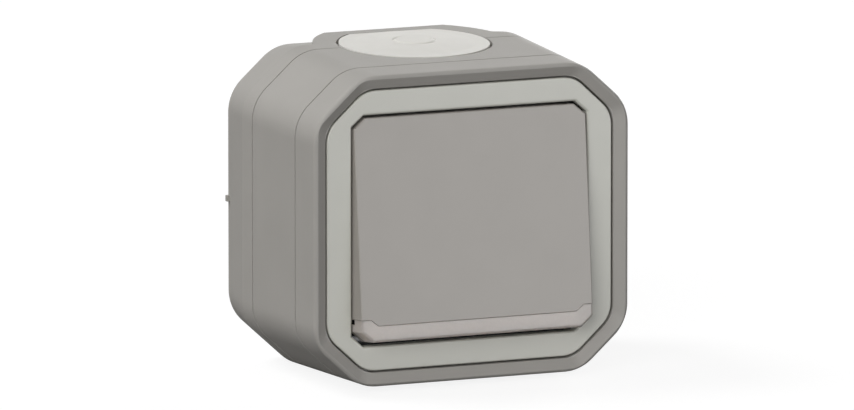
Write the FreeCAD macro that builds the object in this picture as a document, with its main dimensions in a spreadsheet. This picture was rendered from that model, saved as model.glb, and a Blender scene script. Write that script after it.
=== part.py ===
import FreeCAD, Part
import Sketcher
import os

# A surface-mounted rocker switch in a splash-proof octagonal housing.
# Millimetres. The wall is the plane Y = 0 and the switch faces -Y.
# X runs to the right, Z runs up, and a depth is a distance out from the wall.

doc = FreeCAD.newDocument("WeatherproofSwitch")

# Driving dimensions

SIZES = {
    # housing outline, at the crease where the shells are widest
    "body_width": 87.0,
    "body_height": 80.2,
    "corner_across": 13.5,
    "corner_up": 12.25,
    "corner_radius": 11.0,
    "draft_angle": 2.0,
    # how far out from the wall each shell ends
    "crease_depth": 13.0,
    "back_taper_angle": 7.6,
    "base_depth": 19.0,
    "housing_length": 25.3,
    "cover_length": 10.1,
    "parting_gap": 0.5,
    "shell_wall": 2.8,
    "back_wall": 2.8,
    "spigot_length": 2.6,
    "spigot_wall": 1.3,
    "spigot_play": 0.2,
    "gasket_inset": 0.9,
    # rim of the front cover, from the outside in to the light frame
    "rim_side": 5.55,
    "rim_end": 5.3,
    "rim_rise": 1.5,
    "rim_bevel_rise": 1.45,
    "rim_bevel_angle": 60.0,
    "rim_round": 1.1,
    # light frame round the rocker
    "trim_across": 10.05,
    "trim_up": 9.3,
    "trim_radius": 7.4,
    "trim_thick": 3.0,
    "trim_gap": 0.5,
    "trim_round": 0.3,
    "trim_ledge": 2.0,
    "trim_ledge_thick": 2.0,
    "frame_side": 6.55,
    "frame_end": 6.05,
    "opening_across": 3.2,
    "opening_up": 2.8,
    "opening_round": 0.6,
    # rocker
    "rocker_side_gap": 0.3,
    "rocker_end_gap": 0.95,
    "rocker_drop": 0.22,
    "rocker_face": 9.2,
    "rocker_tilt": 5.6,
    "rocker_skirt": 7.6,
    "rocker_wall": 1.8,
    "rocker_draft": 1.5,
    "rocker_round": 0.35,
    "pivot_set_back": 6.5,
    # clear strip along the rocker's lower edge
    "lens_height": 4.15,
    "lens_end": 2.66,
    "lens_step_across": 2.0,
    "lens_step_up": 1.6,
    "lens_depth": 5.6,
    "lens_gap": 0.12,
    "lens_round": 0.7,
    "clip_height": 1.3,
    "clip_reach": 1.8,
    "clip_set_back": 4.2,
    # rocker carrier and its pivots
    "carrier_inset": 10.9,
    "carrier_thick": 1.6,
    "carrier_arm": 2.2,
    "pivot_pin": 3.0,
    "pivot_play": 0.1,
    "pivot_reach": 2.6,
    "lug_width": 3.0,
    "lug_height": 7.0,
    "lug_play": 0.3,
    "plunger_reach": 9.0,
    "plunger_guide": 6.4,
    "plunger_collar": 4.4,
    "plunger_stem": 1.7,
    "collar_height": 1.0,
    "guide_drop": 4.0,
    "tip_radius": 1.2,
    "tip_play": 0.15,
    "spring_wire": 0.5,
    "spring_turns": 4.0,
    # support plate of pressed steel and the rubber seal in front of it
    "plate_inset": 6.0,
    "plate_thick": 1.5,
    "plate_corner": 12.0,
    "plate_screw_inset": 9.0,
    "window_width": 38.0,
    "window_height": 36.0,
    "window_play": 0.2,
    "window_margin": 2.0,
    "seal_margin": 5.0,
    "seal_thick": 0.8,
    "seal_corner": 6.0,
    "seal_radius": 3.0,
    # switch block
    "block_width": 44.0,
    "block_height": 46.0,
    "block_depth": 24.2,
    "block_wall": 1.8,
    "block_flange": 1.5,
    "block_cover_thick": 2.4,
    "slot_side_play": 1.3,
    "slot_end_play": 2.8,
    "lever_arm": 5.0,
    "lever_width": 9.0,
    "lever_thick": 4.4,
    "lever_margin": 0.4,
    "lever_pin": 2.4,
    "tower_width": 6.3,
    "tower_height": 6.0,
    "contact_width": 5.0,
    "contact_thick": 1.0,
    "contact_reach": 10.0,
    "contact_gap": 0.1,
    "button_radius": 1.6,
    "button_height": 1.2,
    "ear_thick": 1.0,
    "ear_height": 6.0,
    "ear_play": 0.3,
    "terminal_width": 8.0,
    "terminal_length": 7.6,
    "terminal_screw_length": 3.5,
    "wire_bore": 2.8,
    "wire_floor": 0.4,
    "wire_stop": 0.8,
    # screws
    "screw_inset_side": 12.5,
    "screw_inset_end": 13.0,
    "screw_length": 8.0,
    "screw_play": 0.1,
    "screw_shank": 3.0,
    "screw_head": 5.6,
    "screw_head_height": 2.2,
    "driver_slot": 0.9,
    "driver_slot_depth": 1.1,
    "boss_width": 7.6,
    "lug_set_back": 3.0,
    "lug_thick": 3.0,
    "lug_margin": 0.4,
    "wall_screw_pitch": 60.0,
    "wall_screw_hole": 4.6,
    "wall_pad_rim": 2.3,
    # cable entry at the top, with its soft grommet
    "boss_radius": 25.2,
    "entry_ahead": 0.5,
    "entry_reach": 8.4,
    "grommet_radius": 18.7,
    "grommet_cut": 15.1,
    "grommet_gap": 0.7,
    "grommet_edge": 0.1,
    "grommet_thick": 1.4,
    "grommet_lip": 2.0,
    "grommet_flange": 1.2,
    "flange_play": 0.2,
    "slope_radius": 15.3,
    "slope_rise": 0.4,
    "step_radius": 11.6,
    "step_width": 0.4,
    "crown_rise": 0.25,
    "dome_radius": 6.7,
    "groove_radius": 0.3,
    "nipple_radius": 4.9,
    "nipple_taper": 0.3,
    "nipple_rise": 0.2,
    # moulding tab at the left of the base, by the wall
    "tab_height": 1.5,
    "tab_reach": 0.8,
    "tab_depth": 1.2,
}

# How far a cutting form runs past what it cuts
OVERSHOOT = "1"

# How much an octagon's corner shrinks for each millimetre that its sides move in
CORNER_SHRINK = "0.6"

sheet = doc.addObject("Spreadsheet::Sheet", "Sizes")
for row, (alias, value) in enumerate(SIZES.items(), start=1):
    sheet.set("A%d" % row, alias.replace("_", " "))
    sheet.set("B%d" % row, str(value))
    sheet.setAlias("B%d" % row, alias)
doc.recompute()


def size(alias):
    """Name of a sheet cell, as an expression."""
    return "Sizes." + alias


def number(expression):
    """Present value of an expression of sheet cells."""
    return float(sheet.evalExpression(str(expression)))


# Depths out from the wall that follow from the sheet

COVER_REAR = "(Sizes.base_depth + Sizes.housing_length)"
FRAME_FACE = "(Sizes.base_depth + Sizes.housing_length + Sizes.cover_length)"
RIM_FACE = "(%s + Sizes.rim_rise)" % FRAME_FACE
TRIM_REAR = "(%s - Sizes.trim_thick)" % FRAME_FACE
PLATE_REAR = "(%s - Sizes.plate_thick)" % COVER_REAR
BLOCK_FRONT = "(%s - Sizes.block_flange)" % PLATE_REAR
BLOCK_REAR = "(%s - Sizes.block_depth)" % PLATE_REAR
PIVOT = "(%s - Sizes.pivot_set_back)" % FRAME_FACE
LEVER_DEPTH = "(%s - Sizes.plunger_reach - Sizes.lever_arm)" % PIVOT
LEVER_TILT = "(asin(Sizes.plunger_reach * sin(Sizes.rocker_tilt * 1 deg) / Sizes.lever_arm) / 1 deg)"
ENTRY_DEPTH = "(Sizes.base_depth + Sizes.entry_ahead)"

# Widths and heights that follow from the outline, each a margin or a clearance inside the last

TOP = "(Sizes.body_height / 2)"
TRIM_WIDTH = "(Sizes.body_width - 2 * Sizes.rim_side)"
TRIM_HEIGHT = "(Sizes.body_height - 2 * Sizes.rim_end)"
OPENING_WIDTH = "(%s - 2 * Sizes.frame_side)" % TRIM_WIDTH
OPENING_HEIGHT = "(%s - 2 * Sizes.frame_end)" % TRIM_HEIGHT
ROCKER_WIDTH = "(%s - 2 * Sizes.rocker_side_gap)" % OPENING_WIDTH
ROCKER_HEIGHT = "(%s - 2 * Sizes.rocker_end_gap)" % OPENING_HEIGHT
PLATE_WIDTH = "(Sizes.body_width - 2 * Sizes.plate_inset)"
PLATE_HEIGHT = "(Sizes.body_height - 2 * Sizes.plate_inset)"
PLATE_SCREW_X = "(Sizes.body_width / 2 - Sizes.plate_screw_inset)"
SCREW_X = "(Sizes.body_width / 2 - Sizes.screw_inset_side)"
SCREW_Z = "(Sizes.body_height / 2 - Sizes.screw_inset_end)"
SCREW_HOLE = "(Sizes.screw_shank / 2 + Sizes.screw_play)"
PANEL_WIDTH = "(Sizes.window_width - 2 * Sizes.window_play)"
PANEL_HEIGHT = "(Sizes.window_height - 2 * Sizes.window_play)"
CARRIER_WIDTH = "(%s - 2 * (Sizes.window_margin + Sizes.lug_width + Sizes.lug_play))" % PANEL_WIDTH
CARRIER_HEIGHT = "(%s - 2 * Sizes.carrier_inset)" % ROCKER_HEIGHT


# A turn about X, whose angle an expression then sets
START_TURN = FreeCAD.Placement(FreeCAD.Vector(0, 0, 0), FreeCAD.Rotation(FreeCAD.Vector(1, 0, 0), 1.0))


# Small helpers

def bind(item, prop, expression):
    item.setExpression(prop, str(expression))


def place(item, x="0", depth="0", z="0", turn_x=0.0, turn_y=0.0):
    """Place an item, with its point given as expressions."""
    turn = FreeCAD.Rotation(FreeCAD.Vector(1, 0, 0), turn_x)
    turn = turn.multiply(FreeCAD.Rotation(FreeCAD.Vector(0, 1, 0), turn_y))
    item.Placement = FreeCAD.Placement(FreeCAD.Vector(0, 0, 0), turn)
    bind(item, "Placement.Base.x", x)
    bind(item, "Placement.Base.y", "-(%s)" % depth)
    bind(item, "Placement.Base.z", z)
    return item


def box(name, x, z, depth, width, height, length):
    """A block centred on x and z, whose rear face is at the given depth."""
    item = doc.addObject("Part::Box", name)
    bind(item, "Length", width)
    bind(item, "Width", length)
    bind(item, "Height", height)
    return place(item, "(%s) - (%s) / 2" % (x, width), "(%s) + (%s)" % (depth, length),
                 "(%s) - (%s) / 2" % (z, height))


def cylinder(name, radius, length):
    item = doc.addObject("Part::Cylinder", name)
    bind(item, "Radius", radius)
    bind(item, "Height", length)
    return item


def rod(name, x, z, depth, radius, length):
    """A cylinder that runs forward, away from the wall."""
    return place(cylinder(name, radius, length), x, depth, z, turn_x=90.0)


def pin(name, x, z, depth, radius, length):
    """A cylinder along X that starts at x."""
    return place(cylinder(name, radius, length), x, depth, z, turn_y=90.0)


def post(name, x, z, depth, radius, length):
    """A cylinder that stands up from z."""
    return place(cylinder(name, radius, length), x, depth, z)


def cut(name, base, tool):
    item = doc.addObject("Part::Cut", name)
    item.Base = base
    item.Tool = tool
    return item


def fuse(name, *pieces):
    item = doc.addObject("Part::MultiFuse", name)
    item.Shapes = list(pieces)
    item.Refine = True
    return item


def common(name, *pieces):
    item = doc.addObject("Part::MultiCommon", name)
    item.Shapes = list(pieces)
    return item


def octagon(body, name, depth, width, height, across, up):
    """A sketch of an octagon, parallel to the wall, centred on the switch."""
    plane = [item for item in body.Origin.OriginFeatures if item.Role == "XZ_Plane"][0]
    sketch = body.newObject("Sketcher::SketchObject", name)
    sketch.AttachmentSupport = [(plane, "")]
    sketch.MapMode = "FlatFace"
    bind(sketch, "AttachmentOffset.Base.z", depth)
    half_w = number(width) / 2
    half_h = number(height) / 2
    cx = number(across)
    cz = number(up)
    corners = [(half_w - cx, half_h), (cx - half_w, half_h), (-half_w, half_h - cz), (-half_w, cz - half_h),
               (cx - half_w, -half_h), (half_w - cx, -half_h), (half_w, cz - half_h), (half_w, half_h - cz)]
    for index, start in enumerate(corners):
        end = corners[(index + 1) % len(corners)]
        sketch.addGeometry(Part.LineSegment(FreeCAD.Vector(*start, 0), FreeCAD.Vector(*end, 0)))
    for index in range(len(corners)):
        sketch.addConstraint(Sketcher.Constraint("Coincident", index, 2, (index + 1) % len(corners), 1))
    for side in (0, 4):
        sketch.addConstraint(Sketcher.Constraint("Symmetric", side, 1, side, 2, -2))
    for side in (2, 6):
        sketch.addConstraint(Sketcher.Constraint("Symmetric", side, 1, side, 2, -1))
    sizes = [("DistanceX", 0, 2, 0, 1, "%s - 2 * (%s)" % (width, across)),
             ("DistanceX", 4, 1, 4, 2, "%s - 2 * (%s)" % (width, across)),
             ("DistanceY", 2, 2, 2, 1, "%s - 2 * (%s)" % (height, up)),
             ("DistanceY", 6, 1, 6, 2, "%s - 2 * (%s)" % (height, up)),
             ("DistanceY", -1, 1, 0, 1, "(%s) / 2" % height),
             ("DistanceY", 4, 1, -1, 1, "(%s) / 2" % height),
             ("DistanceX", -1, 1, 6, 1, "(%s) / 2" % width),
             ("DistanceX", 2, 1, -1, 1, "(%s) / 2" % width)]
    for kind, first, end_a, second, end_b, expression in sizes:
        index = sketch.addConstraint(
            Sketcher.Constraint(kind, first, end_a, second, end_b, number(expression)))
        bind(sketch, "Constraints[%d]" % index, expression)
    return sketch


def prism(name, depth, length, width, height, across, up, radius=None, taper="0", backward=False):
    """An octagonal body with drafted sides and rounded corners, run forward from its sketch."""
    body = doc.addObject("PartDesign::Body", name)
    sketch = octagon(body, name + "Outline", depth, width, height, across, up)
    pad = body.newObject("PartDesign::Pad", name + "Pad")
    pad.Profile = sketch
    pad.Reversed = backward
    bind(pad, "Length", length)
    bind(pad, "TaperAngle", taper)
    doc.recompute()
    if radius:
        round_edges(body, name + "Rounds", radius, slanted_edges(pad.Shape))
    return body


def round_edges(body, name, radius, edges):
    """Round some edges of a body's last feature."""
    last = body.Tip
    rounds = body.newObject("PartDesign::Fillet", name)
    rounds.Base = (last, edges)
    bind(rounds, "Radius", radius)
    doc.recompute()


def slanted_edges(shape):
    """Names of the edges that run from the rear face to the front face."""
    rear = shape.BoundBox.YMax
    front = shape.BoundBox.YMin
    names = []
    for index, edge in enumerate(shape.Edges, start=1):
        ends = sorted(vertex.Point.y for vertex in edge.Vertexes)
        if abs(ends[0] - front) < 0.01 and abs(ends[-1] - rear) < 0.01:
            names.append("Edge%d" % index)
    return names


def edges_at(shape, depth, keep=None):
    """Names of the edges that lie flat at one depth, all or those whose middle is to be kept."""
    level = -number(depth)
    names = []
    for index, edge in enumerate(shape.Edges, start=1):
        flat = all(abs(vertex.Point.y - level) < 0.001 for vertex in edge.Vertexes)
        if flat and (keep is None or keep(edge.CenterOfMass)):
            names.append("Edge%d" % index)
    return names


# Master form of the housing, and the hollow inside it

def shell_form(name, depth, length, inset="0", taper="-Sizes.draft_angle", backward=False):
    """The housing outline, inset evenly, as a drafted block."""
    shrink = "%s * (%s)" % (CORNER_SHRINK, inset)
    return prism(name, depth, length, "Sizes.body_width - 2 * (%s)" % inset,
                 "Sizes.body_height - 2 * (%s)" % inset, "Sizes.corner_across - %s" % shrink,
                 "Sizes.corner_up - %s" % shrink, "Sizes.corner_radius - %s" % shrink, taper, backward)


CREASE = size("crease_depth")
TONGUE_INSET = "(Sizes.shell_wall + Sizes.spigot_play)"
CORE_INSET = "(Sizes.shell_wall + Sizes.spigot_play + Sizes.spigot_wall)"
front_form = shell_form("FrontForm", CREASE, "%s - %s" % (RIM_FACE, CREASE))
round_edges(front_form, "RimRounds", size("rim_round"), edges_at(front_form.Shape, RIM_FACE))
rear_form = shell_form("RearForm", CREASE, CREASE, taper="-Sizes.back_taper_angle", backward=True)
outer_form = fuse("OuterForm", rear_form, front_form)
BACK_WALL = size("back_wall")
INSIDE_LENGTH = "%s - %s" % (RIM_FACE, BACK_WALL)
hollow_form = shell_form("HollowForm", BACK_WALL, INSIDE_LENGTH, size("shell_wall"))
tongue_form = shell_form("TongueForm", BACK_WALL, INSIDE_LENGTH, TONGUE_INSET)
core_form = shell_form("CoreForm", BACK_WALL, INSIDE_LENGTH, CORE_INSET)
seal_form = shell_form("SealForm", CREASE, "%s - %s" % (RIM_FACE, CREASE), size("gasket_inset"))


def slab(name, depth, length):
    """A slice across the whole switch, from one depth forward."""
    return box(name, "0", "0", depth, "2 * Sizes.body_width", "2 * Sizes.body_height", length)


# Cable entry at the top, whose round boss carries the drafted top face back to the wall

ENTRY_TOP = "(%s - (%s - Sizes.crease_depth) * tan(Sizes.draft_angle * 1 deg))" % (TOP, ENTRY_DEPTH)
NECK_HOLE = "(Sizes.grommet_radius - Sizes.grommet_lip)"
FLANGE_RADIUS = "(%s + Sizes.grommet_flange)" % NECK_HOLE
WALL_UNDERSIDE = "(Sizes.shell_wall + Sizes.flange_play)"


def tilt_to_top(item, rise):
    """Stand an item on the drafted top face, over the middle of the cable entry."""
    item.Placement = START_TURN
    bind(item, "Placement.Rotation.Angle", "Sizes.draft_angle * 1 deg")
    bind(item, "Placement.Base.y", "-(%s + (%s) * sin(Sizes.draft_angle * 1 deg))" % (ENTRY_DEPTH, rise))
    bind(item, "Placement.Base.z", "%s + (%s) * cos(Sizes.draft_angle * 1 deg)" % (ENTRY_TOP, rise))
    return item


def entry_disc(name, rise, radius, length):
    """A round slice on the drafted top face, cut off square near the wall."""
    disc = tilt_to_top(cylinder(name + "Round", radius, length), rise)
    chord = "(Sizes.grommet_cut - Sizes.grommet_radius + (%s))" % radius
    behind = box(name + "Behind", "0", TOP, "%s - %s - Sizes.body_width" % (ENTRY_DEPTH, chord),
                 "2 * Sizes.body_width", "2 * Sizes.body_height", "Sizes.body_width")
    return cut(name, disc, behind)


entry_column = post("EntryColumn", "0", "0", ENTRY_DEPTH, size("boss_radius"), "Sizes.body_height")
flush_form = shell_form("FlushForm", CREASE, CREASE, taper="Sizes.draft_angle", backward=True)
entry_boss = common("EntryBoss", flush_form, entry_column)
entry_seat = entry_disc("EntrySeat", "-Sizes.grommet_thick", "Sizes.grommet_radius + Sizes.grommet_gap",
                        "Sizes.grommet_thick + %s" % OVERSHOOT)
entry_hole = entry_disc("EntryHole", "-Sizes.entry_reach", NECK_HOLE, size("entry_reach"))
entry_relief = entry_disc("EntryRelief", "-Sizes.entry_reach", "%s + Sizes.flange_play" % FLANGE_RADIUS,
                          "Sizes.entry_reach - Sizes.shell_wall")
entry_cut = fuse("EntryCut", entry_seat, entry_hole, entry_relief)


# Places that repeat

def at_sides(name, make, x, z):
    """Copies at plus and minus x, at one height."""
    return [make("%sLeft" % name, "-(%s)" % x, z), make("%sRight" % name, x, z)]


def at_corners(name, make, x, z):
    """Copies at the four corners of a rectangle."""
    return at_sides(name + "Upper", make, x, z) + at_sides(name + "Lower", make, x, "-(%s)" % z)


def to_side_wall(inner):
    """Middle and width of a web that runs out from x = inner to the side wall."""
    return "((%s + Sizes.body_width / 2) / 2)" % inner, "(Sizes.body_width / 2 - %s)" % inner


LUG_REAR = "(Sizes.base_depth + Sizes.lug_set_back)"

# Rear base, screwed to the wall

rear_wall = common("BaseOuter", outer_form, slab("BaseSlab", "0", size("base_depth")))
rear_shell = cut("BaseShell", fuse("BaseWithBoss", rear_wall, entry_boss), hollow_form)
base_bosses = at_corners("BaseBoss", lambda name, x, z: rod(
    name, x, z, "Sizes.back_wall / 2", "Sizes.boss_width / 2", LUG_REAR + " - Sizes.back_wall / 2"),
    SCREW_X, SCREW_Z)
base_threads = at_corners("BaseThread", lambda name, x, z: rod(
    name, x, z, size("back_wall"), SCREW_HOLE, LUG_REAR), SCREW_X, SCREW_Z)
wall_holes = at_sides("WallHole", lambda name, x, z: rod(
    name, x, z, "-" + OVERSHOOT, "Sizes.wall_screw_hole / 2", "2 * (Sizes.back_wall + %s)" % OVERSHOOT),
    "Sizes.wall_screw_pitch / 2", "0")
wall_pads = at_sides("WallPad", lambda name, x, z: rod(
    name, x, z, "Sizes.back_wall / 2", "Sizes.wall_screw_hole / 2 + Sizes.wall_pad_rim", size("back_wall")),
    "Sizes.wall_screw_pitch / 2", "0")
inner_pads = common("WallPads", fuse("WallPadPair", *wall_pads), outer_form)
TAB_X = "(-Sizes.body_width / 2 + Sizes.crease_depth * tan(Sizes.back_taper_angle * 1 deg))"
wall_tab = box("WallTab", TAB_X, "Sizes.tab_height / 2", "0", "2 * Sizes.tab_reach", size("tab_height"),
               size("tab_depth"))
rear_solid = fuse("BaseSolid", rear_shell, *base_bosses, inner_pads, wall_tab)
rear_base = cut("rear_base", rear_solid, fuse("BaseCuts", entry_cut, *base_threads, *wall_holes))

# Middle housing, which carries the switch

MIDDLE_REAR = "(Sizes.base_depth + Sizes.parting_gap)"
middle_outer = common("MiddleOuter", outer_form, slab(
    "MiddleSlab", MIDDLE_REAR, "%s - %s" % (COVER_REAR, MIDDLE_REAR)))
tongue = common("MiddleTongue", tongue_form, slab(
    "TongueSlab", "Sizes.base_depth - Sizes.spigot_length", "Sizes.spigot_length + 2 * Sizes.parting_gap"))
middle_ring = cut("MiddleRing", fuse("MiddleBlank", middle_outer, tongue), core_form)
middle_lugs = at_corners("MiddleLug", lambda name, x, z: rod(
    name, x, z, LUG_REAR, "Sizes.boss_width / 2 + Sizes.lug_margin", size("lug_thick")), SCREW_X, SCREW_Z)
WEB_X, WEB_WIDTH = to_side_wall(SCREW_X)
middle_webs = at_corners("MiddleWeb", lambda name, x, z: box(
    name, x, z, LUG_REAR, WEB_WIDTH, size("boss_width"), size("lug_thick")), WEB_X, SCREW_Z)
POST_X, POST_WIDTH = to_side_wall("(%s - Sizes.boss_width / 2)" % PLATE_SCREW_X)
plate_posts = at_sides("PlatePost", lambda name, x, z: box(
    name, x, z, MIDDLE_REAR, POST_WIDTH, size("boss_width"), PLATE_REAR + " - " + MIDDLE_REAR), POST_X, "0")
carrier_forms = fuse("MiddleCarrierForms", *middle_lugs, *middle_webs, *plate_posts)
middle_carriers = common("MiddleCarriers", carrier_forms, front_form)
middle_solid = fuse("MiddleSolid", middle_ring, middle_carriers)
lug_holes = at_corners("LugHole", lambda name, x, z: rod(
    name, x, z, "%s - %s" % (LUG_REAR, OVERSHOOT), SCREW_HOLE, "Sizes.lug_thick + 2 * %s" % OVERSHOOT),
    SCREW_X, SCREW_Z)
plate_threads = at_sides("PlateThread", lambda name, x, z: rod(
    name, x, z, PLATE_REAR + " - Sizes.screw_length", SCREW_HOLE, "2 * Sizes.screw_length"),
    PLATE_SCREW_X, "0")
mid_housing = cut("mid_housing", middle_solid, fuse("MiddleCuts", entry_cut, *lug_holes, *plate_threads))


# Front cover with its bevelled rim

def trim_form(name, depth, length, grow="0", taper="0"):
    """The light frame's outline, grown evenly."""
    more = "%s * (%s)" % (CORNER_SHRINK, grow)
    return prism(name, depth, length, "%s + 2 * (%s)" % (TRIM_WIDTH, grow),
                 "%s + 2 * (%s)" % (TRIM_HEIGHT, grow), "Sizes.trim_across + " + more,
                 "Sizes.trim_up + " + more, "Sizes.trim_radius + " + more, taper)


COVER_EDGE = "(%s + Sizes.parting_gap)" % COVER_REAR
cover_blank = common("CoverBlank", front_form, slab("CoverSlab", COVER_EDGE, RIM_FACE + " - " + COVER_EDGE))
bevel_cut = trim_form("BevelCut", RIM_FACE + " - Sizes.rim_bevel_rise", "2 * Sizes.rim_bevel_rise",
                      size("trim_gap"), size("rim_bevel_angle"))
trim_pocket = trim_form("TrimPocket", TRIM_REAR, "Sizes.trim_thick + Sizes.rim_rise", size("trim_gap"))
trim_hole = trim_form("TrimHole", COVER_REAR, size("cover_length"), "-Sizes.trim_ledge")
cover_hollow = common("CoverHollow", core_form, slab(
    "CoverHollowSlab", COVER_REAR, TRIM_REAR + " - Sizes.trim_ledge_thick - " + COVER_REAR))
cover_cuts = fuse("CoverCuts", bevel_cut, trim_pocket, trim_hole, cover_hollow)
front_cover = cut("front_cover", cover_blank, cover_cuts)


# Flat gaskets between the shells

def gasket(name, depth):
    """A flat ring that fills a parting gap, set back from the outside."""
    return common(name + "Ring", seal_form, slab(name + "Slab", depth, size("parting_gap")))


gasket_cuts = fuse("GasketCuts", hollow_form, entry_cut)
base_gasket = cut("base_gasket", gasket("BaseGasket", size("base_depth")), gasket_cuts)
cover_gasket = cut("cover_gasket", gasket("CoverGasket", COVER_REAR), core_form)

# Light frame round the rocker, with a softened edge outside and round its opening

trim_frame = trim_form("trim_frame", TRIM_REAR, size("trim_thick"))
opening_pocket = trim_frame.newObject("PartDesign::Pocket", "OpeningPocket")
opening_pocket.Profile = octagon(trim_frame, "OpeningOutline", FRAME_FACE, OPENING_WIDTH, OPENING_HEIGHT,
                                 size("opening_across"), size("opening_up"))
opening_pocket.Type = "ThroughAll"
trim_frame.Tip = opening_pocket
doc.recompute()


def round_the_opening(middle):
    """Whether an edge of the light frame, with this middle, belongs to its opening."""
    half_width = number(OPENING_WIDTH + " / 2 + Sizes.trim_round")
    half_height = number(OPENING_HEIGHT + " / 2 + Sizes.trim_round")
    return abs(middle.x) < half_width and abs(middle.z) < half_height


round_edges(trim_frame, "OpeningRounds", size("opening_round"),
            edges_at(trim_frame.Shape, FRAME_FACE, round_the_opening))
round_edges(trim_frame, "TrimEdgeRounds", size("trim_round"),
            edges_at(trim_frame.Shape, FRAME_FACE, lambda middle: not round_the_opening(middle)))


# Cable grommet in the top

def grommet_step(name, rise, lower, upper, length):
    item = doc.addObject("Part::Cone", name)
    bind(item, "Radius1", lower)
    bind(item, "Radius2", upper)
    bind(item, "Height", length)
    return tilt_to_top(item, rise)


CROWN_BASE = "(Sizes.grommet_edge + Sizes.slope_rise)"
DOME_TOP = "(%s + Sizes.crown_rise)" % CROWN_BASE
grommet_rim = entry_disc("GrommetRim", "-Sizes.grommet_thick", size("grommet_radius"),
                         "Sizes.grommet_thick + Sizes.grommet_edge")
grommet_neck = entry_disc("GrommetNeck", "-" + WALL_UNDERSIDE, "%s - Sizes.grommet_gap" % NECK_HOLE,
                          "%s - Sizes.grommet_thick" % WALL_UNDERSIDE)
grommet_flange = entry_disc("GrommetFlange", "-%s - Sizes.grommet_flange" % WALL_UNDERSIDE, FLANGE_RADIUS,
                            size("grommet_flange"))
grommet_slope = grommet_step("GrommetSlope", size("grommet_edge"), size("slope_radius"), size("step_radius"),
                             size("slope_rise"))
grommet_crown = grommet_step("GrommetCrown", CROWN_BASE, "Sizes.step_radius - Sizes.step_width",
                             size("dome_radius"), size("crown_rise"))
grommet_nipple = grommet_step("GrommetNipple", DOME_TOP, size("nipple_radius"),
                              "Sizes.nipple_radius - Sizes.nipple_taper", size("nipple_rise"))
nipple_groove = doc.addObject("Part::Torus", "NippleGroove")
bind(nipple_groove, "Radius1", "Sizes.nipple_radius + Sizes.groove_radius")
bind(nipple_groove, "Radius2", size("groove_radius"))
tilt_to_top(nipple_groove, DOME_TOP)
grommet_solid = fuse("GrommetSolid", grommet_rim, grommet_neck, grommet_flange, grommet_slope, grommet_crown,
                     grommet_nipple)
top_grommet = cut("top_grommet", grommet_solid, nipple_groove)


# Screws between the middle housing and the base

def screw(name, x, z, seat, length):
    """A pan-head screw whose head sits at the given depth and whose shank runs to the rear."""
    shank = rod(name + "_shank", x, z, "%s - (%s)" % (seat, length), "Sizes.screw_shank / 2", length)
    head = rod(name + "_pan", x, z, seat, "Sizes.screw_head / 2", size("screw_head_height"))
    slot = box(name + "_slot", x, z, "%s + Sizes.screw_head_height - Sizes.driver_slot_depth" % seat,
               size("screw_head"), size("driver_slot"), "Sizes.driver_slot_depth + %s" % OVERSHOOT)
    return cut(name, fuse(name + "_blank", shank, head), slot)


housing_screws = []
for row, sign_z in (("upper", ""), ("lower", "-")):
    for side, sign_x in (("left", "-"), ("right", "")):
        housing_screws.append(screw("housing_screw_%s_%s" % (row, side), sign_x + SCREW_X, sign_z + SCREW_Z,
                                    LUG_REAR + " + Sizes.lug_thick", "Sizes.lug_thick + Sizes.screw_length"))

# Support plate of pressed steel, its screws and the rubber seal in front of it

plate_blank = prism("PlateBlank", PLATE_REAR, size("plate_thick"), PLATE_WIDTH, PLATE_HEIGHT,
                    size("plate_corner"), size("plate_corner"))
plate_window = box("PlateWindow", "0", "0", "%s - %s" % (PLATE_REAR, OVERSHOOT), size("window_width"),
                   size("window_height"), "Sizes.plate_thick + 2 * %s" % OVERSHOOT)
plate_holes = at_sides("PlateHole", lambda name, x, z: rod(
    name, x, z, "%s - %s" % (PLATE_REAR, OVERSHOOT), SCREW_HOLE, "Sizes.plate_thick + 2 * %s" % OVERSHOOT),
    PLATE_SCREW_X, "0")
support_plate = cut("support_plate", plate_blank, fuse("PlateCuts", plate_window, *plate_holes))
PLATE_SCREW_LENGTH = "Sizes.plate_thick + Sizes.screw_length"
plate_screws = [screw("plate_screw_left", "-" + PLATE_SCREW_X, "0", COVER_REAR, PLATE_SCREW_LENGTH),
                screw("plate_screw_right", PLATE_SCREW_X, "0", COVER_REAR, PLATE_SCREW_LENGTH)]
seal_blank = prism("RockerSealBlank", COVER_REAR, size("seal_thick"),
                   "Sizes.window_width + 2 * Sizes.seal_margin",
                   "Sizes.window_height + 2 * Sizes.seal_margin", size("seal_corner"), size("seal_corner"),
                   size("seal_radius"))
seal_window = box("SealWindow", "0", "0", "%s - %s" % (COVER_REAR, OVERSHOOT), size("window_width"),
                  size("window_height"), "Sizes.seal_thick + 2 * %s" % OVERSHOOT)
rocker_seal = cut("rocker_seal", seal_blank, seal_window)

# Switch block behind the plate, with bores for the wires in its walls

BLOCK_LENGTH = "(%s - %s)" % (BLOCK_FRONT, BLOCK_REAR)
BLOCK_FLOOR = "(%s + Sizes.block_wall)" % BLOCK_REAR
CONTACT_FACE = ("(%s - (Sizes.lever_thick / 2 + Sizes.contact_thick + Sizes.button_height) * cos(%s * 1 deg)"
                " - (Sizes.contact_reach + Sizes.button_radius) * sin(%s * 1 deg) - Sizes.contact_gap)"
                % (LEVER_DEPTH, LEVER_TILT, LEVER_TILT))
STRIP_REAR = "(%s - Sizes.button_height - Sizes.contact_thick)" % CONTACT_FACE
STRIP_FRONT = "(%s + Sizes.contact_thick)" % STRIP_REAR
BLOCK_INSIDE = "(Sizes.block_height / 2 - Sizes.block_wall)"
CLAMP_INNER = "(%s - Sizes.terminal_length)" % BLOCK_INSIDE
TERMINAL_Z = "(%s - Sizes.terminal_length / 2)" % BLOCK_INSIDE
CONTACT_INNER = "(Sizes.contact_reach - Sizes.button_radius)"
COMMON_X = "(-Sizes.block_width / 2 + Sizes.block_wall + Sizes.terminal_length / 2)"

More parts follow.
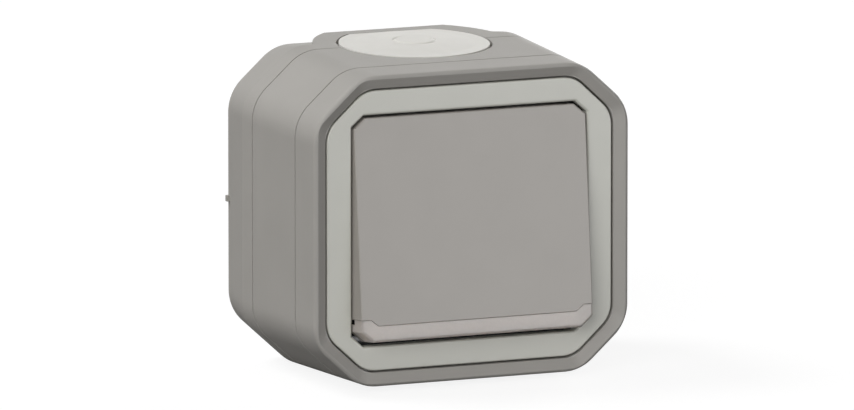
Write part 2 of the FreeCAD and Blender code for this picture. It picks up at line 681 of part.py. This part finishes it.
WIRE_RADIUS = "(Sizes.wire_bore / 2)"
WIRE_DEPTH = "(%s + Sizes.wire_floor + %s)" % (BLOCK_FLOOR, WIRE_RADIUS)
WIRE_LENGTH = "(%s + Sizes.block_wall + Sizes.terminal_length - Sizes.wire_stop)" % OVERSHOOT
WIRE_INNER = "(%s + Sizes.wire_stop)" % CLAMP_INNER
wire_upper = post("WireUpper", "0", WIRE_INNER, WIRE_DEPTH, WIRE_RADIUS, WIRE_LENGTH)
wire_lower = post("WireLower", "0", "-%s - %s" % (WIRE_INNER, WIRE_LENGTH), WIRE_DEPTH, WIRE_RADIUS,
                  WIRE_LENGTH)
wire_common = pin("WireCommon", "-Sizes.block_width / 2 - %s" % OVERSHOOT, "0", WIRE_DEPTH, WIRE_RADIUS,
                  WIRE_LENGTH)

block_outer = box("BlockOuter", "0", "0", BLOCK_REAR, size("block_width"), size("block_height"), BLOCK_LENGTH)
block_inner = box("BlockInner", "0", "0", BLOCK_FLOOR, "Sizes.block_width - 2 * Sizes.block_wall",
                  "Sizes.block_height - 2 * Sizes.block_wall", BLOCK_LENGTH)
SEAT_REAR = "(%s + Sizes.block_wall / 2)" % BLOCK_REAR
SEAT_Z = "((%s + %s) / 2)" % (CONTACT_INNER, CLAMP_INNER)
block_seats = [box("ContactSeat" + side, "0", sign + SEAT_Z, SEAT_REAR, size("contact_width"),
                   "%s - %s" % (CLAMP_INNER, CONTACT_INNER), STRIP_REAR + " - " + SEAT_REAR)
               for side, sign in (("Upper", ""), ("Lower", "-"))]
block_solid = fuse("BlockSolid", cut("BlockShell", block_outer, block_inner), *block_seats)
switch_block = cut("switch_block", block_solid, fuse("BlockBores", wire_upper, wire_lower, wire_common))

# Cover of the switch block, held under the plate by its flange, with the rocker's pivot lugs

cover_flange = box("BlockCoverFlange", "0", "0", BLOCK_FRONT, size("block_width"), size("block_height"),
                   size("block_flange"))
cover_panel = box("BlockCoverPanel", "0", "0", PLATE_REAR, PANEL_WIDTH, PANEL_HEIGHT,
                  size("block_cover_thick"))
LUG_X = "(%s / 2 + Sizes.lug_play + Sizes.lug_width / 2)" % CARRIER_WIDTH
cover_lugs = at_sides("PivotLug", lambda name, x, z: box(
    name, x, z, PLATE_REAR, size("lug_width"), size("lug_height"), "%s - %s" % (PIVOT, PLATE_REAR)),
    LUG_X, "0")
cover_lug_tops = at_sides("PivotLugTop", lambda name, x, z: pin(
    name, "%s - Sizes.lug_width / 2" % x, z, PIVOT, "Sizes.lug_height / 2", size("lug_width")), LUG_X, "0")
cover_slot = box("PlungerSlot", "0", "0", "%s - %s" % (BLOCK_FRONT, OVERSHOOT),
                 "Sizes.plunger_guide + 2 * Sizes.slot_side_play",
                 "Sizes.plunger_guide + 2 * Sizes.slot_end_play",
                 "Sizes.block_flange + Sizes.block_cover_thick + 2 * %s" % OVERSHOOT)
pivot_bore = pin("PivotBore", "-" + CARRIER_WIDTH, "0", PIVOT, "Sizes.pivot_pin / 2 + Sizes.pivot_play",
                 "2 * " + CARRIER_WIDTH)
block_cover_solid = fuse("BlockCoverSolid", cover_flange, cover_panel, *cover_lugs, *cover_lug_tops)
block_cover = cut("block_cover", block_cover_solid, fuse("BlockCoverCuts", cover_slot, pivot_bore))


# Fixed contacts with their terminals

def fixed_contact(name, sign, wire_bore):
    """A brass strip with a silvered button, folded down over its terminal block."""
    strip = box(name + "_strip", "0", "%s * (%s + %s) / 2" % (sign, CONTACT_INNER, BLOCK_INSIDE), STRIP_REAR,
                size("contact_width"), "%s - %s" % (BLOCK_INSIDE, CONTACT_INNER), size("contact_thick"))
    button = rod(name + "_button", "0", "%s * Sizes.contact_reach" % sign, STRIP_REAR, size("button_radius"),
                 "Sizes.contact_thick + Sizes.button_height")
    clamp = box(name + "_clamp", "0", "%s * %s" % (sign, TERMINAL_Z), BLOCK_FLOOR, size("terminal_width"),
                size("terminal_length"), STRIP_REAR + " - " + BLOCK_FLOOR)
    hole = rod(name + "_hole", "0", "%s * %s" % (sign, TERMINAL_Z), BLOCK_FLOOR, SCREW_HOLE, BLOCK_LENGTH)
    return cut(name, fuse(name + "_blank", strip, button, clamp), fuse(name + "_cuts", hole, wire_bore))


contact_upper = fixed_contact("fixed_contact_upper", "1", wire_upper)
contact_lower = fixed_contact("fixed_contact_lower", "-1", wire_lower)

# Common terminal, a bracket whose ears carry the contact lever

EAR_X = "(Sizes.lever_width / 2 + Sizes.ear_play + Sizes.ear_thick / 2)"
FOOT_LEFT = "(%s - Sizes.terminal_length / 2)" % COMMON_X
FOOT_RIGHT = "(%s + Sizes.ear_thick / 2)" % EAR_X
common_foot = box("CommonFoot", "(%s + %s) / 2" % (FOOT_LEFT, FOOT_RIGHT), "0", BLOCK_FLOOR,
                  "%s - %s" % (FOOT_RIGHT, FOOT_LEFT), size("ear_height"), size("ear_thick"))
common_ears = at_sides("CommonEar", lambda name, x, z: box(
    name, x, z, BLOCK_FLOOR, size("ear_thick"), size("ear_height"),
    "%s - %s + Sizes.lever_pin / 2 + Sizes.ear_thick" % (LEVER_DEPTH, BLOCK_FLOOR)), EAR_X, "0")
common_clamp = box("CommonClamp", COMMON_X, "0", BLOCK_FLOOR, size("terminal_length"), size("terminal_width"),
                   STRIP_FRONT + " - " + BLOCK_FLOOR)
common_hole = rod("CommonHole", COMMON_X, "0", BLOCK_FLOOR, SCREW_HOLE, BLOCK_LENGTH)
PIN_END = "(%s + Sizes.ear_thick)" % EAR_X
lever_bore = pin("LeverBore", "-" + PIN_END, "0", LEVER_DEPTH, "Sizes.lever_pin / 2 + Sizes.pivot_play",
                 "2 * " + PIN_END)
common_terminal = cut("common_terminal", fuse("CommonBlank", common_foot, *common_ears, common_clamp),
                      fuse("CommonCuts", common_hole, lever_bore, wire_common))

TERMINAL_SCREW = size("terminal_screw_length")
terminal_screws = [screw("terminal_screw_upper", "0", TERMINAL_Z, STRIP_FRONT, TERMINAL_SCREW),
                   screw("terminal_screw_lower", "0", "-" + TERMINAL_Z, STRIP_FRONT, TERMINAL_SCREW),
                   screw("terminal_screw_common", COMMON_X, "0", STRIP_FRONT, TERMINAL_SCREW)]


# Moving pieces are drawn square to the wall and then turned about their own pivot

def turned(item, depth, angle):
    """Turn an item about a line along X, at mid height and the given depth."""
    item.Placement = START_TURN
    bind(item, "Placement.Rotation.Angle", "(%s) * 1 deg" % angle)
    bind(item, "Placement.Base.y", "(%s) * (cos((%s) * 1 deg) - 1)" % (depth, angle))
    bind(item, "Placement.Base.z", "(%s) * sin((%s) * 1 deg)" % (depth, angle))
    return item


ROCKER_TURN = "-Sizes.rocker_tilt"

# Rocker, a hollow key with a notch for the clear strip along its lower edge

ROCKER_FACE = "(%s + Sizes.rocker_face)" % PIVOT
ROCKER_REAR = "(%s - Sizes.rocker_skirt)" % ROCKER_FACE
LENS_REAR = "(%s - Sizes.lens_depth)" % ROCKER_FACE
LENS_TOP = "(-%s / 2 - Sizes.rocker_drop + Sizes.lens_height + Sizes.lens_step_up)" % ROCKER_HEIGHT
LENS_WALL = "(Sizes.lens_height + Sizes.lens_step_up + Sizes.lens_gap + Sizes.rocker_wall)"


def rocker_form(name, radius):
    """The rocker's drafted outline, with its front edges rounded."""
    body = prism(name, ROCKER_REAR, size("rocker_skirt"), ROCKER_WIDTH, ROCKER_HEIGHT, size("opening_across"),
                 size("opening_up"), None, "-Sizes.rocker_draft")
    round_edges(body, name + "FaceRounds", radius, edges_at(body.Shape, ROCKER_FACE))
    bind(body, "Placement.Base.z", "-Sizes.rocker_drop")
    return body


def above_lens(name, gap="0"):
    """All that lies above the clear strip, whose top edge steps up at its two ends."""
    key = prism(name + "Key", LENS_REAR, "2 * Sizes.lens_depth", "%s - 2 * Sizes.lens_end" % ROCKER_WIDTH,
                ROCKER_HEIGHT, size("lens_step_across"), size("lens_step_up"))
    bind(key, "Placement.Base.z", "Sizes.lens_height - Sizes.rocker_drop + %s" % gap)
    upper = box(name + "Upper", "0", "%s + %s + %s / 2" % (LENS_TOP, gap, ROCKER_HEIGHT), LENS_REAR,
                "2 * " + ROCKER_WIDTH, ROCKER_HEIGHT, "2 * Sizes.lens_depth")
    return fuse(name, key, upper)


clip_slots = at_sides("ClipSlot", lambda name, x, z: box(
    name, x, z, "%s - %s" % (ROCKER_REAR, OVERSHOOT), "2 * Sizes.clip_reach", size("clip_height"),
    "Sizes.rocker_skirt - Sizes.clip_set_back + %s" % OVERSHOOT),
    "%s / 2" % ROCKER_WIDTH, "%s - Sizes.clip_height / 2" % LENS_TOP)
rocker_hollow = box("RockerHollow", "0", "(%s - Sizes.rocker_wall) / 2 - Sizes.rocker_drop" % LENS_WALL,
                    "%s - %s" % (ROCKER_REAR, OVERSHOOT), "%s - 2 * Sizes.rocker_wall" % ROCKER_WIDTH,
                    "%s - Sizes.rocker_wall - %s" % (ROCKER_HEIGHT, LENS_WALL),
                    "Sizes.rocker_skirt - Sizes.rocker_wall + %s" % OVERSHOOT)
lens_notch = cut("LensNotch", slab("LensNotchSlab", LENS_REAR, "2 * Sizes.lens_depth"),
                 above_lens("AboveNotch", size("lens_gap")))
rocker_cuts = fuse("RockerCuts", rocker_hollow, lens_notch, *clip_slots)
rocker_blank = rocker_form("RockerBlank", size("rocker_round"))
rocker = turned(cut("rocker", rocker_blank, rocker_cuts), PIVOT, ROCKER_TURN)
lens_blank = common("LensBlank", rocker_form("LensForm", size("lens_round")),
                    slab("LensSlab", LENS_REAR, "2 * Sizes.lens_depth"))
rocker_lens = turned(cut("rocker_lens", lens_blank, fuse("LensCuts", above_lens("AboveLens"), *clip_slots)),
                     PIVOT, ROCKER_TURN)

# Carrier clipped inside the rocker, with its pivot pins, and the sprung plunger

CARRIER_REAR = "(%s - Sizes.rocker_wall - Sizes.carrier_thick)" % ROCKER_FACE
carrier_plate = box("CarrierPlate", "0", "0", CARRIER_REAR, CARRIER_WIDTH, CARRIER_HEIGHT,
                    size("carrier_thick"))
ARM_X = "((%s - Sizes.carrier_arm) / 2)" % CARRIER_WIDTH
ARM_REAR = "(%s - Sizes.pivot_pin / 2)" % PIVOT
carrier_arms = at_sides("CarrierArm", lambda name, x, z: box(
    name, x, z, ARM_REAR, size("carrier_arm"), "2 * Sizes.pivot_pin", "%s - %s" % (CARRIER_REAR, ARM_REAR)),
    ARM_X, "0")
pivot_pins = [pin("PivotPin" + side, x, "0", PIVOT, "Sizes.pivot_pin / 2", size("pivot_reach"))
              for side, x in (("Right", CARRIER_WIDTH + " / 2"),
                              ("Left", "-%s / 2 - Sizes.pivot_reach" % CARRIER_WIDTH))]
GUIDE_REAR = "(%s - Sizes.guide_drop)" % PIVOT
GUIDE_LENGTH = "%s - %s" % (CARRIER_REAR, GUIDE_REAR)
plunger_guide = rod("PlungerGuide", "0", "0", GUIDE_REAR, "Sizes.plunger_guide / 2", GUIDE_LENGTH)
guide_bore = rod("GuideBore", "0", "0", "%s - %s" % (GUIDE_REAR, OVERSHOOT),
                 "Sizes.plunger_collar / 2 + Sizes.pivot_play", "%s + %s" % (GUIDE_LENGTH, OVERSHOOT))
carrier_blank = fuse("CarrierBlock", carrier_plate, *carrier_arms, *pivot_pins, plunger_guide)
rocker_carrier = turned(cut("rocker_carrier", carrier_blank, guide_bore), PIVOT, ROCKER_TURN)

TIP = "(%s - Sizes.plunger_reach)" % PIVOT
plunger_ball = doc.addObject("Part::Sphere", "PlungerBall")
bind(plunger_ball, "Radius", size("tip_radius"))
place(plunger_ball, "0", TIP, "0")
plunger_rod = rod("PlungerRod", "0", "0", TIP, "Sizes.plunger_stem / 2", GUIDE_REAR + " - " + TIP)
plunger_head = rod("PlungerHead", "0", "0", GUIDE_REAR, "Sizes.plunger_collar / 2", size("collar_height"))
plunger = turned(fuse("plunger", plunger_ball, plunger_rod, plunger_head), PIVOT, ROCKER_TURN)

# Spring behind the plunger's collar, a coil between the collar and the carrier plate

SPRING_REAR = "(%s + Sizes.collar_height + Sizes.spring_wire / 2)" % GUIDE_REAR
SPRING_ROOM = "(%s - %s - Sizes.spring_wire / 2)" % (CARRIER_REAR, SPRING_REAR)
SPRING_RADIUS = "(Sizes.plunger_collar / 2 - Sizes.spring_wire)"
spring_path = doc.addObject("Part::Helix", "SpringPath")
bind(spring_path, "Radius", SPRING_RADIUS)
bind(spring_path, "Pitch", "%s / Sizes.spring_turns" % SPRING_ROOM)
bind(spring_path, "Height", SPRING_ROOM)
place(spring_path, "0", SPRING_REAR, "0", turn_x=90.0)
spring_section = doc.addObject("Part::Circle", "SpringSection")
bind(spring_section, "Radius", "Sizes.spring_wire / 2")
place(spring_section, SPRING_RADIUS, SPRING_REAR, "0")
plunger_spring = doc.addObject("Part::Sweep", "plunger_spring")
plunger_spring.Sections = [spring_section]
plunger_spring.Spine = (spring_path, [])
plunger_spring.Solid = True
plunger_spring.Frenet = True
turned(plunger_spring, PIVOT, ROCKER_TURN)

# Contact lever, which the plunger throws the other way

LEVER_LENGTH = "(2 * (Sizes.contact_reach + Sizes.button_radius + Sizes.lever_margin))"
lever_bar = box("LeverBar", "0", "0", "%s - Sizes.lever_thick / 2" % LEVER_DEPTH, size("lever_width"),
                LEVER_LENGTH, size("lever_thick"))
lever_tower = box("LeverTower", "0", "0", LEVER_DEPTH, size("tower_width"), size("tower_height"),
                  size("lever_arm"))
lever_groove = pin("LeverGroove", "-Sizes.lever_width", "0", "%s + Sizes.lever_arm" % LEVER_DEPTH,
                   "Sizes.tip_radius + Sizes.tip_play", "2 * Sizes.lever_width")
lever_axle = pin("LeverAxle", "-" + PIN_END, "0", LEVER_DEPTH, "Sizes.lever_pin / 2", "2 * " + PIN_END)
lever_blank = cut("LeverBlank", fuse("LeverSolid", lever_bar, lever_tower), lever_groove)
contact_lever = turned(fuse("contact_lever", lever_blank, lever_axle), LEVER_DEPTH, LEVER_TILT)
BLADE_REAR = "(%s - Sizes.lever_thick / 2 - Sizes.contact_thick)" % LEVER_DEPTH
blade = box("BladeStrip", "0", "0", BLADE_REAR, size("contact_width"),
            "2 * (Sizes.contact_reach + Sizes.button_radius)", size("contact_thick"))
blade_buttons = [rod("BladeButton" + side, "0", "%s * Sizes.contact_reach" % sign,
                     BLADE_REAR + " - Sizes.button_height", size("button_radius"), size("button_height"))
                 for side, sign in (("Upper", "1"), ("Lower", "-1"))]
moving_contact = turned(fuse("moving_contact", blade, *blade_buttons), LEVER_DEPTH, LEVER_TILT)

doc.recompute()

# Check the model and write each piece

PIECES = [rear_base, mid_housing, front_cover, base_gasket, cover_gasket, trim_frame, top_grommet,
          support_plate, rocker_seal, switch_block, block_cover, contact_upper, contact_lower,
          common_terminal, rocker, rocker_lens, rocker_carrier, plunger, plunger_spring, contact_lever,
          moving_contact]
PIECES += housing_screws + plate_screws + terminal_screws

for item in doc.Objects:
    if "Invalid" in item.State or "Error" in item.State:
        raise RuntimeError("%s failed: %s" % (item.Label, item.State))

os.makedirs("parts", exist_ok=True)
for piece in PIECES:
    shape = piece.Shape
    if shape.isNull() or not shape.isValid():
        raise RuntimeError("%s has no valid shape" % piece.Label)
    if len(shape.Solids) != 1:
        raise RuntimeError("%s has %d solids" % (piece.Label, len(shape.Solids)))
    shape.exportStep("parts/%s.step" % piece.Label)
    print("%-24s %9.1f mm3" % (piece.Label, shape.Volume))
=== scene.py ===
import math

import bpy
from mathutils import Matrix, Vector


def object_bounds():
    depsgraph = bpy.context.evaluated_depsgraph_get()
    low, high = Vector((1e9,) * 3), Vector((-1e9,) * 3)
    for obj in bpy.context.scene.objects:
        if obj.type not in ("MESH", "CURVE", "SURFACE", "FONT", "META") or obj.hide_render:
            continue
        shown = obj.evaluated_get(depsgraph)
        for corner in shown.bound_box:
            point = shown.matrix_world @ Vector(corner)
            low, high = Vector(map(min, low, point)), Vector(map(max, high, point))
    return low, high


# Looks of a splash-proof surface switch: materials, light, floor and camera.
# Metres, in the part's own frame: the wall is Y = 0 and the switch faces -Y.

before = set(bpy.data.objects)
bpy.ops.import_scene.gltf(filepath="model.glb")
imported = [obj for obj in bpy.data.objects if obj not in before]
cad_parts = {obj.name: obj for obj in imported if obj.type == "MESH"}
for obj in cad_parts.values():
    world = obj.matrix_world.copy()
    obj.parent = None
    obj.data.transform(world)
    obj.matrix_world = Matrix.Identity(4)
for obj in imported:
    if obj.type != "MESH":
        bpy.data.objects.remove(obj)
cad_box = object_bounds()
MM = 0.001


# Materials

def linear(value):
    """Linear light for one sRGB channel from 0 to 255."""
    share = value / 255
    if share <= 0.04045:
        return share / 12.92
    return ((share + 0.055) / 1.055) ** 2.4


def colour(red, green, blue):
    return (linear(red), linear(green), linear(blue), 1.0)


def new_material(name):
    material = bpy.data.materials.new(name)
    material.use_nodes = True
    nodes = material.node_tree.nodes
    return material, nodes, material.node_tree.links, nodes["Principled BSDF"]


def noise(nodes, links, size, detail, stretch=(1, 1, 1)):
    """Noise whose lumps are about `size` across, fixed to the object."""
    place = nodes.new("ShaderNodeTexCoord")
    mapping = nodes.new("ShaderNodeMapping")
    mapping.inputs["Scale"].default_value = stretch
    texture = nodes.new("ShaderNodeTexNoise")
    texture.inputs["Scale"].default_value = 1 / size
    texture.inputs["Detail"].default_value = detail
    links.new(place.outputs["Object"], mapping.inputs["Vector"])
    links.new(mapping.outputs["Vector"], texture.inputs["Vector"])
    return texture.outputs["Fac"]


# The part of a noise's range that most of its values fall in
NOISE_LOW = 0.3
NOISE_HIGH = 0.7


def spread(nodes, links, source, low, high):
    """Map a noise's middle range to low and high."""
    ramp = nodes.new("ShaderNodeMapRange")
    ramp.inputs["From Min"].default_value = NOISE_LOW
    ramp.inputs["From Max"].default_value = NOISE_HIGH
    ramp.inputs["To Min"].default_value = low
    ramp.inputs["To Max"].default_value = high
    links.new(source, ramp.inputs["Value"])
    return ramp.outputs["Result"]


def two_tones(nodes, links, source, first, second, socket):
    """Blend two colours by a noise, into `socket`."""
    mix = nodes.new("ShaderNodeMix")
    mix.data_type = "RGBA"
    mix.inputs["A"].default_value = colour(*first)
    mix.inputs["B"].default_value = colour(*second)
    links.new(spread(nodes, links, source, 0.0, 1.0), mix.inputs["Factor"])
    links.new(mix.outputs["Result"], socket)


BEVEL_SAMPLES = 8


def soften(nodes, links, shader, grain, depth, edge):
    """Fine surface grain, over edges that are rounded a little."""
    bevel = nodes.new("ShaderNodeBevel")
    bevel.samples = BEVEL_SAMPLES
    bevel.inputs["Radius"].default_value = edge
    bump = nodes.new("ShaderNodeBump")
    bump.inputs["Strength"].default_value = 1.0
    bump.inputs["Distance"].default_value = depth
    links.new(grain, bump.inputs["Height"])
    links.new(bevel.outputs["Normal"], bump.inputs["Normal"])
    links.new(bump.outputs["Normal"], shader.inputs["Normal"])


PLASTIC_DRIFT_SIZE = 14 * MM
PLASTIC_GLOSS_CHANGE = 0.05


def plastic(name, tone, darker, rough, grain_size, grain_depth, edge=0.25 * MM):
    """Moulded plastic: spark-eroded grain, faint colour drift and uneven gloss."""
    material, nodes, links, shader = new_material(name)
    drift = noise(nodes, links, PLASTIC_DRIFT_SIZE, detail=2.0)
    grain = noise(nodes, links, grain_size, detail=3.0)
    two_tones(nodes, links, drift, tone, darker, shader.inputs["Base Color"])
    gloss = spread(nodes, links, grain, rough - PLASTIC_GLOSS_CHANGE, rough + PLASTIC_GLOSS_CHANGE)
    links.new(gloss, shader.inputs["Roughness"])
    soften(nodes, links, shader, grain, grain_depth, edge)
    return material


CLEAR_FROST_SIZE = 0.6 * MM
CLEAR_SHARE = 0.55
CLEAR_IOR = 1.49
CLEAR_MILKINESS = 0.7
CLEAR_MILK_DEPTH = 2.0 * MM
CLEAR_MILK_WARMTH = (1.0, 0.95, 0.9)


def clear_plastic():
    """Clear strip: warm and milky, with a faint frost in its gloss."""
    material, nodes, links, shader = new_material("lens_clear")
    frost = noise(nodes, links, CLEAR_FROST_SIZE, detail=2.0)
    two_tones(nodes, links, frost, (230, 223, 218), (226, 219, 214), shader.inputs["Base Color"])
    links.new(spread(nodes, links, frost, low=0.40, high=0.46), shader.inputs["Roughness"])
    shader.inputs["Transmission Weight"].default_value = CLEAR_SHARE
    shader.inputs["IOR"].default_value = CLEAR_IOR
    shader.inputs["Subsurface Weight"].default_value = CLEAR_MILKINESS
    shader.inputs["Subsurface Radius"].default_value = CLEAR_MILK_WARMTH
    shader.inputs["Subsurface Scale"].default_value = CLEAR_MILK_DEPTH
    soften(nodes, links, shader, frost, depth=0.004 * MM, edge=0.12 * MM)
    return material


GROMMET_DUST_SIZE = 5 * MM
GROMMET_GRAIN_SIZE = 0.25 * MM
GROMMET_SHEEN = 0.15


def grommet_rubber():
    """Off-white grommet: matt and evenly dusty, with a faint sheen."""
    material, nodes, links, shader = new_material("grommet_soft")
    dust = noise(nodes, links, GROMMET_DUST_SIZE, detail=3.0)
    grain = noise(nodes, links, GROMMET_GRAIN_SIZE, detail=3.0)
    two_tones(nodes, links, dust, (229, 227, 221), (226, 224, 218), shader.inputs["Base Color"])
    links.new(spread(nodes, links, grain, low=0.55, high=0.70), shader.inputs["Roughness"])
    shader.inputs["Sheen Weight"].default_value = GROMMET_SHEEN
    soften(nodes, links, shader, grain, depth=0.006 * MM, edge=0.05 * MM)
    return material


SEAL_GRAIN_SIZE = 0.4 * MM
SEAL_ROUGHNESS = 0.7


def black_rubber():
    """Matt black of the gaskets and the rocker's seal."""
    material, nodes, links, shader = new_material("gasket_black")
    grain = noise(nodes, links, SEAL_GRAIN_SIZE, detail=3.0)
    two_tones(nodes, links, grain, (40, 40, 40), (30, 30, 30), shader.inputs["Base Color"])
    shader.inputs["Roughness"].default_value = SEAL_ROUGHNESS
    soften(nodes, links, shader, grain, depth=0.02 * MM, edge=0.1 * MM)
    return material


METAL_GRAIN_SIZE = 0.5 * MM
METAL_GLOSS_CHANGE = 0.08


def metal(name, tone, darker, rough, stretch=(1, 1, 1)):
    """Plated or bare metal, with a grain that `stretch` squeezes along an axis."""
    material, nodes, links, shader = new_material(name)
    grain = noise(nodes, links, METAL_GRAIN_SIZE, detail=4.0, stretch=stretch)
    two_tones(nodes, links, grain, tone, darker, shader.inputs["Base Color"])
    gloss = spread(nodes, links, grain, rough - METAL_GLOSS_CHANGE, rough + METAL_GLOSS_CHANGE)
    links.new(gloss, shader.inputs["Roughness"])
    shader.inputs["Metallic"].default_value = 1.0
    soften(nodes, links, shader, grain, depth=0.003 * MM, edge=0.1 * MM)
    return material


def dress(names, material):
    """Give CAD nodes a material."""
    for name in names:
        node = bpy.data.objects[name]
        if not node.material_slots:
            node.data.materials.append(material)
        for slot in node.material_slots:
            slot.material = material


shell_grey = plastic("shell_grey", (166, 163, 158), (163, 160, 155), rough=0.58,
                     grain_size=0.22 * MM, grain_depth=0.012 * MM)
rocker_grey = plastic("rocker_grey", (169, 164, 158), (166, 161, 155), rough=0.48,
                      grain_size=0.22 * MM, grain_depth=0.010 * MM, edge=0.1 * MM)
trim_grey = plastic("trim_grey", (205, 205, 196), (202, 202, 193), rough=0.42,
                    grain_size=0.18 * MM, grain_depth=0.006 * MM, edge=0.3 * MM)
block_white = plastic("block_white", (226, 226, 221), (220, 220, 214), rough=0.45,
                      grain_size=0.2 * MM, grain_depth=0.006 * MM)
# The steel's dark tone is painted shade: it stands in for the shade inside the housing, where the
# plate, plunger and spring show through the gap beside the lens.
dull_steel_painted_shade = metal("zinc_steel_painted_shade", (112, 112, 113), (100, 100, 101), rough=0.62, stretch=(1, 6, 1))
screw_steel = metal("screw_steel", (205, 204, 200), (185, 184, 180), rough=0.3)
brass = metal("brass", (214, 180, 105), (196, 160, 88), rough=0.3, stretch=(1, 4, 1))

dress(("rear_base", "mid_housing", "front_cover"), shell_grey)
dress(("rocker",), rocker_grey)
dress(("trim_frame",), trim_grey)
dress(("rocker_lens",), clear_plastic())
dress(("top_grommet",), grommet_rubber())
dress(("base_gasket", "cover_gasket", "rocker_seal"), black_rubber())
dress(("support_plate", "plunger", "plunger_spring"), dull_steel_painted_shade)
dress([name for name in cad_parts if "screw" in name], screw_steel)
dress(("switch_block", "block_cover", "rocker_carrier", "contact_lever"), block_white)
dress(("fixed_contact_upper", "fixed_contact_lower", "common_terminal", "moving_contact"), brass)


def direction(azimuth, rise):
    """Unit vector at `azimuth` degrees to the right of straight in front, and `rise` degrees up."""
    turn = math.radians(azimuth)
    lift = math.radians(rise)
    level = math.cos(lift)
    return Vector((math.sin(turn) * level, -math.cos(turn) * level, math.sin(lift)))


# Camera, at the photograph's angle: degrees, metres and pixels

CAMERA_TURN = -23.1
CAMERA_RISE = 9.81
CAMERA_REACH = 3.633
CAMERA_TARGET = Vector((-1.9, -32.0, 1.3)) * MM
CAMERA_SENSOR = 36.0
CAMERA_CLIP = 20.0
PIXELS_PER_MM = 4.051
IMAGE_WIDTH = 854


def add_camera():
    camera = bpy.data.cameras.new("camera")
    camera.sensor_width = CAMERA_SENSOR
    camera.lens = PIXELS_PER_MM / MM * CAMERA_REACH * CAMERA_SENSOR / IMAGE_WIDTH
    camera.clip_end = CAMERA_CLIP
    holder = bpy.data.objects.new("camera", camera)
    bpy.context.scene.collection.objects.link(holder)
    out = direction(CAMERA_TURN, CAMERA_RISE)
    holder.location = CAMERA_TARGET + out * CAMERA_REACH
    holder.rotation_euler = out.to_track_quat("Z", "Y").to_euler()
    bpy.context.scene.camera = holder


# Light: four soft suns, a low panel that only gloss shows, and an even sky

# Middle of the switch, which the lamps face
MIDDLE = Vector((0.0, -28.0, 0.0)) * MM
PANEL_REACH = 1.0


def add_lamp(name, kind, power, place):
    """A lamp at `place` from the middle of the switch, facing it."""
    lamp = bpy.data.lights.new(name, kind)
    lamp.energy = power
    holder = bpy.data.objects.new(name, lamp)
    holder.location = MIDDLE + place
    holder.rotation_euler = place.to_track_quat("Z", "Y").to_euler()
    bpy.context.scene.collection.objects.link(holder)
    return holder


def soft_sun(name, azimuth, rise, level, softness):
    """Even light from far away, which lights a white face square to it to `level`."""
    holder = add_lamp(name, "SUN", level * math.pi, direction(azimuth, rise))
    holder.data.angle = math.radians(softness)


def gloss_panel(name, azimuth, rise, power, width, height):
    """A panel that shows in gloss alone, too low for the top of the switch to see."""
    holder = add_lamp(name, "AREA", power, direction(azimuth, rise) * PANEL_REACH)
    holder.data.shape = "RECTANGLE"
    holder.data.size = width
    holder.data.size_y = height
    holder.visible_diffuse = False
    holder.visible_camera = False


def sees_white(nodes, links, kinds):
    """1 for the kinds of ray that see the background white, and 0 for the rest."""
    path = nodes.new("ShaderNodeLightPath")
    seen = path.outputs[kinds[0]]
    for kind in kinds[1:]:
        either = nodes.new("ShaderNodeMath")
        either.operation = "MAXIMUM"
        links.new(seen, either.inputs[0])
        links.new(path.outputs[kind], either.inputs[1])
        seen = either.outputs["Value"]
    return seen


def sky(level):
    """Even light, white where the camera, a gloss or a clear piece looks at it."""
    world = bpy.data.worlds.new("studio")
    bpy.context.scene.world = world
    world.use_nodes = True
    nodes = world.node_tree.nodes
    links = world.node_tree.links
    background = nodes["Background"]
    background.inputs["Color"].default_value = (1, 1, 1, 1)
    choose = nodes.new("ShaderNodeMix")
    choose.inputs["A"].default_value = level
    choose.inputs["B"].default_value = 1.0
    white = sees_white(nodes, links, ("Is Camera Ray", "Is Glossy Ray", "Is Transmission Ray"))
    links.new(white, choose.inputs["Factor"])
    links.new(choose.outputs["Result"], background.inputs["Strength"])


FLOOR_HALF = 3.0
FLOOR_TONE = 0.2
FLOOR_ROUGHNESS = 0.9
FLOOR_GLOW = 0.87


def floor(z):
    """A pale floor that stays white for the camera and keeps a faint shadow."""
    corners = [(x * FLOOR_HALF, y * FLOOR_HALF, z) for x, y in ((-1, -1), (1, -1), (1, 1), (-1, 1))]
    mesh = bpy.data.meshes.new("floor")
    mesh.from_pydata(corners, [], [(0, 1, 2, 3)])
    holder = bpy.data.objects.new("floor", mesh)
    bpy.context.scene.collection.objects.link(holder)
    material, nodes, links, shader = new_material("floor_pale")
    shader.inputs["Base Color"].default_value = (FLOOR_TONE, FLOOR_TONE, FLOOR_TONE, 1)
    shader.inputs["Roughness"].default_value = FLOOR_ROUGHNESS
    shader.inputs["Specular IOR Level"].default_value = 0.0
    glow = nodes.new("ShaderNodeMath")
    glow.operation = "MULTIPLY"
    glow.inputs[1].default_value = FLOOR_GLOW
    seen = sees_white(nodes, links, ("Is Camera Ray", "Is Transmission Ray"))
    links.new(seen, glow.inputs[0])
    shader.inputs["Emission Color"].default_value = (1, 1, 1, 1)
    links.new(glow.outputs["Value"], shader.inputs["Emission Strength"])
    mesh.materials.append(material)


add_camera()
sky(level=0.12)
soft_sun("key", azimuth=-125, rise=52, level=0.45, softness=25)
soft_sun("front", azimuth=-42, rise=13, level=0.66, softness=50)
soft_sun("fill", azimuth=5, rise=10, level=0.06, softness=40)
soft_sun("rear", azimuth=130, rise=12, level=0.48, softness=25)
gloss_panel("gloss", azimuth=32, rise=0, power=7.0, width=0.7, height=0.08)
floor(cad_box[0][2])

bpy.context.scene.view_settings.view_transform = "Standard"
